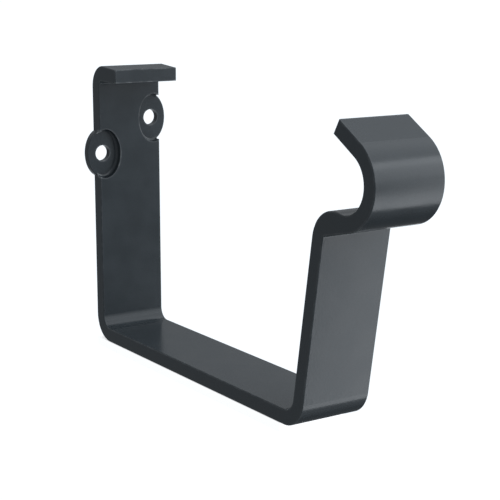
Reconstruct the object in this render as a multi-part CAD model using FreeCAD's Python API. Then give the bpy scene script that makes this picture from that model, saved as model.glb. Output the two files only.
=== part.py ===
"""Gutter bracket for a box gutter: one flat strip, folded and hooked.

Frame, in millimetres: X runs across the strip, +Y points back into the wall,
+Z is up. The origin lies on the wall face, on the strip's centre line, halfway
in height between the two screws.

Every outline point is worked out as (out, up): the distance out from the wall
and the height above the strip's underside.
"""
import FreeCAD
import Part
import math
import os

from FreeCAD import Vector

# The strip
STRIP_WIDTH = 25.0
STRIP_THICK = 5.0
EDGE_ROUND = 0.4

# The upright plate and the lip at its top
PLATE_HEIGHT = 101.75
TOP_BEND = 7.75
LIP_REACH = 17.9
LIP_THICK = 5.6
LIP_END_THICK = 4.75
LIP_FILLET = 1.5

# The trough that carries the gutter
TROUGH_LENGTH = 121.2
BACK_BEND = 4.2
FRONT_BEND = 5.0
WALL_LEAN = 9.65

# The crest over the front wall and the hook beyond it
CREST_HEIGHT = 69.1
CREST_BEND = 10.15
CREST_TURN = 13.0
NECK_THICK = 7.9
NECK_FILLET = 0.8
HOOK_RADIUS = 8.9
HOOK_TURN = 59.4
TIP_LENGTH = 10.9

# The two screw ears, one at each side
EAR_INSET = 2.4
EAR_HALF_WIDTH = 6.1
EAR_HALF_HEIGHT = 8.9
EAR_THICK = 2.5
EAR_ROUND = 1.0
HOLE_RADIUS = 2.9
LEFT_HOLE_HEIGHT = 69.7
RIGHT_HOLE_HEIGHT = 81.8

ORIGIN_HEIGHT = (LEFT_HOLE_HEIGHT + RIGHT_HOLE_HEIGHT) / 2


def at(x, out, up):
    """A point of the row's frame from its place across, out from the wall and up."""
    return Vector(x, -out, up - ORIGIN_HEIGHT)


def on_circle(centre, radius, degrees):
    """The point of a circle at an angle from straight out, turning up."""
    turn = math.radians(degrees)
    return (centre[0] + radius * math.cos(turn), centre[1] + radius * math.sin(turn))


class Outline:
    """A closed chain of lines and arcs on one side face of the strip."""

    def __init__(self, x, start):
        self.x = x
        self.start = start
        self.last = start
        self.edges = []

    def line(self, end):
        a = at(self.x, *self.last)
        b = at(self.x, *end)
        self.edges.append(Part.LineSegment(a, b).toShape())
        self.last = end

    def bend(self, centre, radius, first, final):
        """A line up to the arc's first point, then the arc."""
        begin = on_circle(centre, radius, first)
        middle = on_circle(centre, radius, (first + final) / 2)
        end = on_circle(centre, radius, final)
        if math.dist(begin, self.last) > 1e-6:
            self.line(begin)
        points = [at(self.x, *point) for point in (begin, middle, end)]
        self.edges.append(Part.Arc(*points).toShape())
        self.last = end

    def face(self):
        self.line(self.start)
        return Part.Face(Part.Wire(self.edges))


def wall_out(up, radius=0.0):
    """How far out a point sits from the front wall's trough face, radius beyond it."""
    lean = math.radians(WALL_LEAN)
    foot = STRIP_THICK + TROUGH_LENGTH
    return foot + (up - STRIP_THICK) * math.tan(lean) + radius / math.cos(lean)


def hook_places():
    """The centres of the crest's bend and of the hook, and the neck's inner corner."""
    crest_up = CREST_HEIGHT - CREST_BEND
    crest = (wall_out(crest_up, CREST_BEND), crest_up)
    hook = on_circle(crest, CREST_BEND + HOOK_RADIUS, 90 - CREST_TURN)
    neck_up = CREST_HEIGHT - NECK_THICK
    neck = (wall_out(neck_up, STRIP_THICK), neck_up)
    return crest, hook, neck


def neck_bend(hook, neck):
    """The slope of the neck's underside, tangent to the hook, and its corner fillet."""
    rise = math.degrees(math.atan2(hook[1] - neck[1], hook[0] - neck[0]))
    outer = HOOK_RADIUS + STRIP_THICK
    slope = rise - math.degrees(math.asin(outer / math.dist(hook, neck)))
    half_angle = (90 + WALL_LEAN + slope) / 2
    reach = NECK_FILLET / math.sin(math.radians(half_angle))
    return slope, on_circle(neck, reach, slope - half_angle)


def side_outline(x):
    """The strip's side face, all the way round from the lip's lower corner."""
    crest, hook, neck = hook_places()
    slope, fillet = neck_bend(hook, neck)
    lip_under = PLATE_HEIGHT - LIP_THICK
    outline = Outline(x, (LIP_REACH, lip_under))
    fillet_out = STRIP_THICK + LIP_FILLET
    outline.bend((fillet_out, lip_under - LIP_FILLET), LIP_FILLET, 90, 180)
    back = STRIP_THICK + BACK_BEND
    outline.bend((back, back), BACK_BEND, 180, 270)
    front_up = STRIP_THICK + FRONT_BEND
    front = (wall_out(front_up, -FRONT_BEND), front_up)
    outline.bend(front, FRONT_BEND, 270, 360 - WALL_LEAN)
    outline.bend(crest, CREST_BEND, 180 - WALL_LEAN, 90 - CREST_TURN)
    outline.bend(hook, HOOK_RADIUS, 270 - CREST_TURN, 360 + HOOK_TURN)
    tip = on_circle((0, 0), TIP_LENGTH, HOOK_TURN + 90)
    outline.line((outline.last[0] + tip[0], outline.last[1] + tip[1]))
    outer = HOOK_RADIUS + STRIP_THICK
    shoulder = on_circle(hook, outer, HOOK_TURN)
    outline.line((shoulder[0] + tip[0], shoulder[1] + tip[1]))
    outline.bend(hook, outer, HOOK_TURN, slope - 90)
    outline.bend(fillet, NECK_FILLET, 90 + slope, 180 - WALL_LEAN)
    outline.bend(front, FRONT_BEND + STRIP_THICK, 360 - WALL_LEAN, 270)
    outline.bend((back, back), back, 270, 180)
    outline.bend((TOP_BEND, PLATE_HEIGHT - TOP_BEND), TOP_BEND, 180, 90)
    outline.line((LIP_REACH, lip_under + LIP_END_THICK))
    return outline.face()


def strip():
    """The folded strip with its long edges eased."""
    half = STRIP_WIDTH / 2
    body = side_outline(-half).extrude(Vector(STRIP_WIDTH, 0, 0))
    long_edges = [edge for edge in body.Edges
                  if abs(edge.BoundBox.XMin) > half - 0.01 and edge.BoundBox.XLength < 0.01]
    return body.makeFillet(EDGE_ROUND, long_edges)


def oval(x, up, out, depth):
    """An upright oval plate, its back at out and its front depth further out."""
    centre = at(x, out, up)
    top = centre + Vector(0, 0, EAR_HALF_HEIGHT)
    side = centre + Vector(EAR_HALF_WIDTH, 0, 0)
    ring = Part.Wire(Part.Ellipse(top, side, centre).toShape())
    return Part.Face(ring).extrude(Vector(0, -depth, 0))


def rim(body, out):
    """The edges of a plate that lie at one distance out from the wall."""
    return [edge for edge in body.Edges
            if abs(edge.BoundBox.YMin + out) < 0.01 and edge.BoundBox.YLength < 0.01]


def add_ear(body, x, up):
    """A thin oval ear in the wall face, an oval sink in front of it, and its hole."""
    ear = oval(x, up, 0, EAR_THICK)
    ear = ear.makeFillet(EDGE_ROUND, rim(ear, EAR_THICK))
    sink = oval(x, up, EAR_THICK, STRIP_THICK)
    sink = sink.makeFillet(EAR_ROUND, rim(sink, EAR_THICK))
    hole = Part.makeCylinder(HOLE_RADIUS, 2 * STRIP_THICK, at(x, -1, up), Vector(0, -1, 0))
    return body.cut(sink).fuse(ear).cut(hole)


def bracket():
    inset = STRIP_WIDTH / 2 - EAR_INSET
    body = strip()
    body = add_ear(body, -inset, LEFT_HOLE_HEIGHT)
    body = add_ear(body, inset, RIGHT_HOLE_HEIGHT)
    return body.removeSplitter()


def main():
    os.makedirs("parts", exist_ok=True)
    body = bracket()
    solid = body.Solids[0]
    print("solids", len(body.Solids), "valid", body.isValid(), "volume", round(solid.Volume, 1))
    print("centre of mass", solid.CenterOfMass)
    print("box", body.BoundBox)
    solid.exportStep("parts/bracket.step")


main()
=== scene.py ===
"""A gutter bracket in anthracite powder coat, in a pale studio.

Everything is in metres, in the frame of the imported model. A place in the studio is
given as (azimuth, elevation) in degrees: azimuth 0 is in front of the bracket, which
is -Y, and azimuth 90 is on its right, +X. Two values that end in FROM and TO say where
a smooth change begins and where it is complete.
"""

import math

import bpy
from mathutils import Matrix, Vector


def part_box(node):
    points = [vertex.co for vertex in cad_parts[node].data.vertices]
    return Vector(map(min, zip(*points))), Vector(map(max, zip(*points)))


# The camera, fitted to the photograph, and the nearest distance that it sees
CAMERA_PLACE = (-0.2355, -0.4398, 0.0577)
CAMERA_YAW = 33.57
CAMERA_PITCH = -11.56
CAMERA_LENS = 96.6
CAMERA_NEAREST = 0.01

# The coat's colour, and how far mottling and speckle make it darker or lighter
COAT_COLOUR = (0.0192, 0.0250, 0.0295)
COAT_MOTTLE = 0.10
MOTTLE_NOISE = {"scale": 110, "detail": 3}
SPECKLE_NOISE = {"scale": 2600, "detail": 1}
SPOTS_FROM = 0.7
SPOTS_TO = 1.3

# The coat's gloss: a semi-gloss face, and duller cut sides that face along X
COAT_SPECULAR = 0.35
COAT_ROUGHNESS = 0.21
ROUGHNESS_SPREAD = 0.04
GLOSS_FROM = 0.3
GLOSS_TO = 0.7
CUT_ROUGHNESS = 0.6
CUT_FROM = 0.75
CUT_TO = 0.97

# The coat's orange peel
PEEL_NOISE = {"scale": 1300, "detail": 2}
PEEL_HEIGHT = 0.000012

# Wear along the edges, where the coat is rubbed thin, made lighter still as a painted edge
# highlight
EDGE_WEAR_AND_HIGHLIGHT_COLOUR = (0.115, 0.122, 0.128)
WORN_ROUGHNESS = 0.12
EDGE_MASK_REACH = 0.0008
EDGE_MASK_FROM = 0.5
EDGE_MASK_TO = 0.95

# The breaks in the edge wear and painted edge highlight: its least and greatest share, and the
# noise between them
LEAST_WEAR_AND_HIGHLIGHT = 0.3
MOST_WEAR_AND_HIGHLIGHT = 0.85
BREAK_NOISE = {"scale": 300, "detail": 3}
BREAK_FROM = 0.42
BREAK_TO = 0.62

# The floor: a thin pale slab under the flat foot, as wide as the strip
FLOOR_COLOUR = 0.85
FLOOR_ROUGHNESS = 0.9
FLOOR_GLOW = 0.6
FLOOR_HALF_WIDTH = 0.0125
FLOOR_FRONT = -0.120
FLOOR_DEPTH = 0.003

# The softbox, placed from a centre on the Y axis, and its panels of (lowest, highest, level)
SOFTBOX_CENTRE = -0.09
SOFTBOX_AZIMUTH = 51
SOFTBOX_WIDTH = 24
SOFTBOX_DISTANCE = 3.0
SOFTBOX_PANELS = ((-45, -22, 3.15), (-22, -2, 2.8), (-2, 26, 1.55), (26, 36, 2.45))

# The colour of the softbox and the room
LIGHT_COLOUR = (0.95, 1.0, 1.05)

# The room: its level, and its zones of (azimuth, elevation, inner and outer radius, level)
ROOM_LEVEL = 0.46
OVERHEAD = (60, 65, 18, 43, 1.52)
FRONT_FILL = (33, 32, 22, 42, 1.5)
DARK_SCREEN = (120, -44, 5, 38, 0.22)
REAR_SHADE = (151, 3, 4, 14, 0.15)

# The white backdrop: its zone, and the elevations between which its foot and its top fade
BACKDROP = (114, 0, 49, 55, 1.08)
BACKDROP_FOOT = (-23.8, -22.8)
BACKDROP_TOP = (-0.6, 2.0)


def direction(azimuth, elevation):
    """The unit vector towards a place in the studio."""
    turn = math.radians(azimuth)
    rise = math.radians(elevation)
    level = math.cos(rise)
    return Vector((math.sin(turn) * level, -math.cos(turn) * level, math.sin(rise)))


class Nodes:
    """A node tree, with one short call for each kind of node used here."""

    def __init__(self, owner):
        owner.use_nodes = True
        self.tree = owner.node_tree

    def add(self, kind, **inputs):
        """A node with its inputs, each a value or another node's output."""
        node = self.tree.nodes.new(kind)
        for name, value in inputs.items():
            self.feed(value, node.inputs[name.replace("_", " ")])
        return node

    def feed(self, value, socket):
        if isinstance(value, bpy.types.NodeSocket):
            self.tree.links.new(value, socket)
        else:
            socket.default_value = value

    def math(self, operation, first, second=0.0, clamp=False):
        node = self.add("ShaderNodeMath")
        node.operation = operation
        node.use_clamp = clamp
        self.feed(first, node.inputs[0])
        self.feed(second, node.inputs[1])
        return node.outputs[0]

    def dot(self, first, second):
        node = self.add("ShaderNodeVectorMath")
        node.operation = "DOT_PRODUCT"
        self.feed(first, node.inputs[0])
        self.feed(second, node.inputs[1])
        return node.outputs["Value"]

    def ramp(self, value, start, end, low, high):
        """A smooth change from low to high while the value goes from start to end."""
        node = self.add("ShaderNodeMapRange", Value=value, From_Min=start, From_Max=end,
                        To_Min=low, To_Max=high)
        node.interpolation_type = "SMOOTHSTEP"
        return node.outputs["Result"]

    def noise(self, place, scale, detail):
        """Cloudy noise around 0.5: the scale is spots to a metre, the detail finer layers."""
        node = self.add("ShaderNodeTexNoise", Vector=place, Scale=scale, Detail=detail)
        return node.outputs["Fac"]

    def mix(self, factor, first, second):
        """A mix of two colours, each three numbers or another node's output."""
        node = self.add("ShaderNodeMix")
        node.data_type = "RGBA"
        self.feed(factor, node.inputs[0])
        for value, socket in ((first, node.inputs[6]), (second, node.inputs[7])):
            self.feed((*value, 1) if isinstance(value, tuple) else value, socket)
        return node.outputs[2]


def add_camera():
    data = bpy.data.cameras.new("camera")
    data.lens = CAMERA_LENS
    data.clip_start = CAMERA_NEAREST
    camera = bpy.data.objects.new("camera", data)
    bpy.context.scene.collection.objects.link(camera)
    camera.location = CAMERA_PLACE
    camera.rotation_euler = (math.radians(90 + CAMERA_PITCH), 0, math.radians(-CAMERA_YAW))
    bpy.context.scene.camera = camera


def edge_wear_and_highlight(nodes, place):
    """A broken mask along the outer edges, where the metal behind the surface is thin: rubbed
    coat there, and a painted highlight.
    """
    inside = nodes.add("ShaderNodeAmbientOcclusion", Distance=EDGE_MASK_REACH)
    inside.inside = True
    inside.only_local = True
    # This edge mask carries both real wear and a painted edge highlight
    edge = nodes.ramp(inside.outputs["AO"], EDGE_MASK_FROM, EDGE_MASK_TO, 1, 0)
    breaks = nodes.noise(place, **BREAK_NOISE)
    rubbed = nodes.ramp(breaks, BREAK_FROM, BREAK_TO, LEAST_WEAR_AND_HIGHLIGHT, MOST_WEAR_AND_HIGHLIGHT)
    return nodes.math("MULTIPLY", edge, rubbed)


def coat_material():
    """Powder coat: orange peel, faint mottling and speckle, duller cut sides, and rubbed edges
    that also carry a painted highlight.
    """
    material = bpy.data.materials.new("anthracite_coat")
    nodes = Nodes(material)
    shader = material.node_tree.nodes["Principled BSDF"]
    coordinates = nodes.add("ShaderNodeTexCoord")
    place = coordinates.outputs["Object"]
    mottle = nodes.noise(place, **MOTTLE_NOISE)
    speckle = nodes.noise(place, **SPECKLE_NOISE)
    peel = nodes.noise(place, **PEEL_NOISE)
    wear_and_highlight = edge_wear_and_highlight(nodes, place)
    sideways = nodes.math("ABSOLUTE", nodes.dot(coordinates.outputs["Normal"], (1, 0, 0)))
    cut = nodes.ramp(sideways, CUT_FROM, CUT_TO, 0, CUT_ROUGHNESS - COAT_ROUGHNESS)

    darker = tuple(channel * (1 - COAT_MOTTLE) for channel in COAT_COLOUR)
    lighter = tuple(channel * (1 + COAT_MOTTLE) for channel in COAT_COLOUR)
    spots = nodes.ramp(nodes.math("ADD", mottle, speckle), SPOTS_FROM, SPOTS_TO, 0, 1)
    coat = nodes.mix(spots, darker, lighter)
    # The pale edge colour is partly rubbed coat and partly a painted highlight along the edges
    nodes.feed(nodes.mix(wear_and_highlight, coat, EDGE_WEAR_AND_HIGHLIGHT_COLOUR), shader.inputs["Base Color"])

    least = COAT_ROUGHNESS - ROUGHNESS_SPREAD / 2
    gloss = nodes.ramp(mottle, GLOSS_FROM, GLOSS_TO, least, least + ROUGHNESS_SPREAD)
    rubbed = nodes.math("MULTIPLY", wear_and_highlight, WORN_ROUGHNESS)
    roughness = nodes.math("ADD", nodes.math("ADD", gloss, cut), rubbed)
    nodes.feed(roughness, shader.inputs["Roughness"])
    shader.inputs["Specular IOR Level"].default_value = COAT_SPECULAR

    bump = nodes.add("ShaderNodeBump", Strength=1.0, Distance=PEEL_HEIGHT, Height=peel)
    nodes.feed(bump.outputs["Normal"], shader.inputs["Normal"])
    return material


def floor_material():
    """Plain pale paint, lifted to the white background for what sees it directly."""
    material = bpy.data.materials.new("floor")
    nodes = Nodes(material)
    shader = material.node_tree.nodes["Principled BSDF"]
    shader.inputs["Base Color"].default_value = (FLOOR_COLOUR, FLOOR_COLOUR, FLOOR_COLOUR, 1)
    shader.inputs["Roughness"].default_value = FLOOR_ROUGHNESS
    shader.inputs["Emission Color"].default_value = (1, 1, 1, 1)
    path = nodes.add("ShaderNodeLightPath").outputs
    seen = nodes.math("ADD", path["Is Camera Ray"], path["Is Glossy Ray"])
    seen = nodes.math("ADD", seen, path["Is Transmission Ray"], clamp=True)
    nodes.feed(nodes.math("MULTIPLY", seen, FLOOR_GLOW), shader.inputs["Emission Strength"])
    return material


def add_floor():
    low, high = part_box("bracket")
    near = Vector((-FLOOR_HALF_WIDTH, FLOOR_FRONT, low.z - FLOOR_DEPTH))
    far = Vector((FLOOR_HALF_WIDTH, high.y, low.z))
    bpy.ops.mesh.primitive_cube_add(size=1, location=(near + far) / 2, scale=far - near)
    floor = bpy.context.object
    floor.name = "floor"
    floor.data.materials.append(floor_material())


def add_panel(lowest, highest, level):
    """One upright panel of the softbox, between two elevations."""
    bottom = SOFTBOX_DISTANCE * math.tan(math.radians(lowest))
    top = SOFTBOX_DISTANCE * math.tan(math.radians(highest))
    way = direction(SOFTBOX_AZIMUTH, 0)
    data = bpy.data.lights.new("softbox", "AREA")
    data.shape = "RECTANGLE"
    data.size = 2 * SOFTBOX_DISTANCE * math.tan(math.radians(SOFTBOX_WIDTH / 2))
    data.size_y = top - bottom
    data.energy = level * math.pi * data.size * data.size_y
    data.color = LIGHT_COLOUR
    panel = bpy.data.objects.new("softbox", data)
    bpy.context.scene.collection.objects.link(panel)
    centre = Vector((0, SOFTBOX_CENTRE, (bottom + top) / 2))
    panel.location = centre + way * SOFTBOX_DISTANCE
    panel.rotation_euler = (-way).to_track_quat("-Z", "Y").to_euler()
    panel.visible_camera = False


def add_room():
    """The world: an even grey room, bright overhead and in front, with a white backdrop."""
    world = bpy.data.worlds.new("room")
    bpy.context.scene.world = world
    nodes = Nodes(world)
    place = nodes.add("ShaderNodeTexCoord").outputs["Generated"]
    height = nodes.dot(place, (0, 0, 1))

    def zone(azimuth, elevation, inner, outer, level, outside=0.0):
        """The level within the inner radius of a place, and outside beyond the outer one."""
        edges = [math.cos(math.radians(radius)) for radius in (outer, inner)]
        near = nodes.dot(place, direction(azimuth, elevation))
        return nodes.ramp(near, *edges, outside, level)

    def fade(elevations, low, high):
        """A change from low to high between two elevations."""
        edges = [math.sin(math.radians(elevation)) for elevation in elevations]
        return nodes.ramp(height, *edges, low, high)

    level = nodes.math("MAXIMUM", zone(*OVERHEAD), zone(*FRONT_FILL))
    level = nodes.math("ADD", level, ROOM_LEVEL)
    level = nodes.math("MULTIPLY", level, zone(*DARK_SCREEN, outside=1))
    level = nodes.math("MULTIPLY", level, zone(*REAR_SHADE, outside=1))
    backdrop = nodes.math("MULTIPLY", zone(*BACKDROP), fade(BACKDROP_FOOT, 0, 1))
    backdrop = nodes.math("MULTIPLY", backdrop, fade(BACKDROP_TOP, 1, 0))
    background = world.node_tree.nodes["Background"]
    background.inputs["Color"].default_value = (*LIGHT_COLOUR, 1)
    nodes.feed(nodes.math("MAXIMUM", level, backdrop), background.inputs["Strength"])


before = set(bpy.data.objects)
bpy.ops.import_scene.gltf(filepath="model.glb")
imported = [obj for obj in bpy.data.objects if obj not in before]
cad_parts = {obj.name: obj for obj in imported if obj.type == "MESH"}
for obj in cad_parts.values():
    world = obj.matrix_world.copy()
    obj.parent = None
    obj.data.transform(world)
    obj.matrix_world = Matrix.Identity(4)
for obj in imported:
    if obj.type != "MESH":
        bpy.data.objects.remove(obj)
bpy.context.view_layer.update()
add_camera()
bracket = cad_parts["bracket"]
bracket.data.materials.clear()
bracket.data.materials.append(coat_material())
add_floor()
add_room()
for panel in SOFTBOX_PANELS:
    add_panel(*panel)
bpy.context.scene.view_settings.view_transform = "Standard"
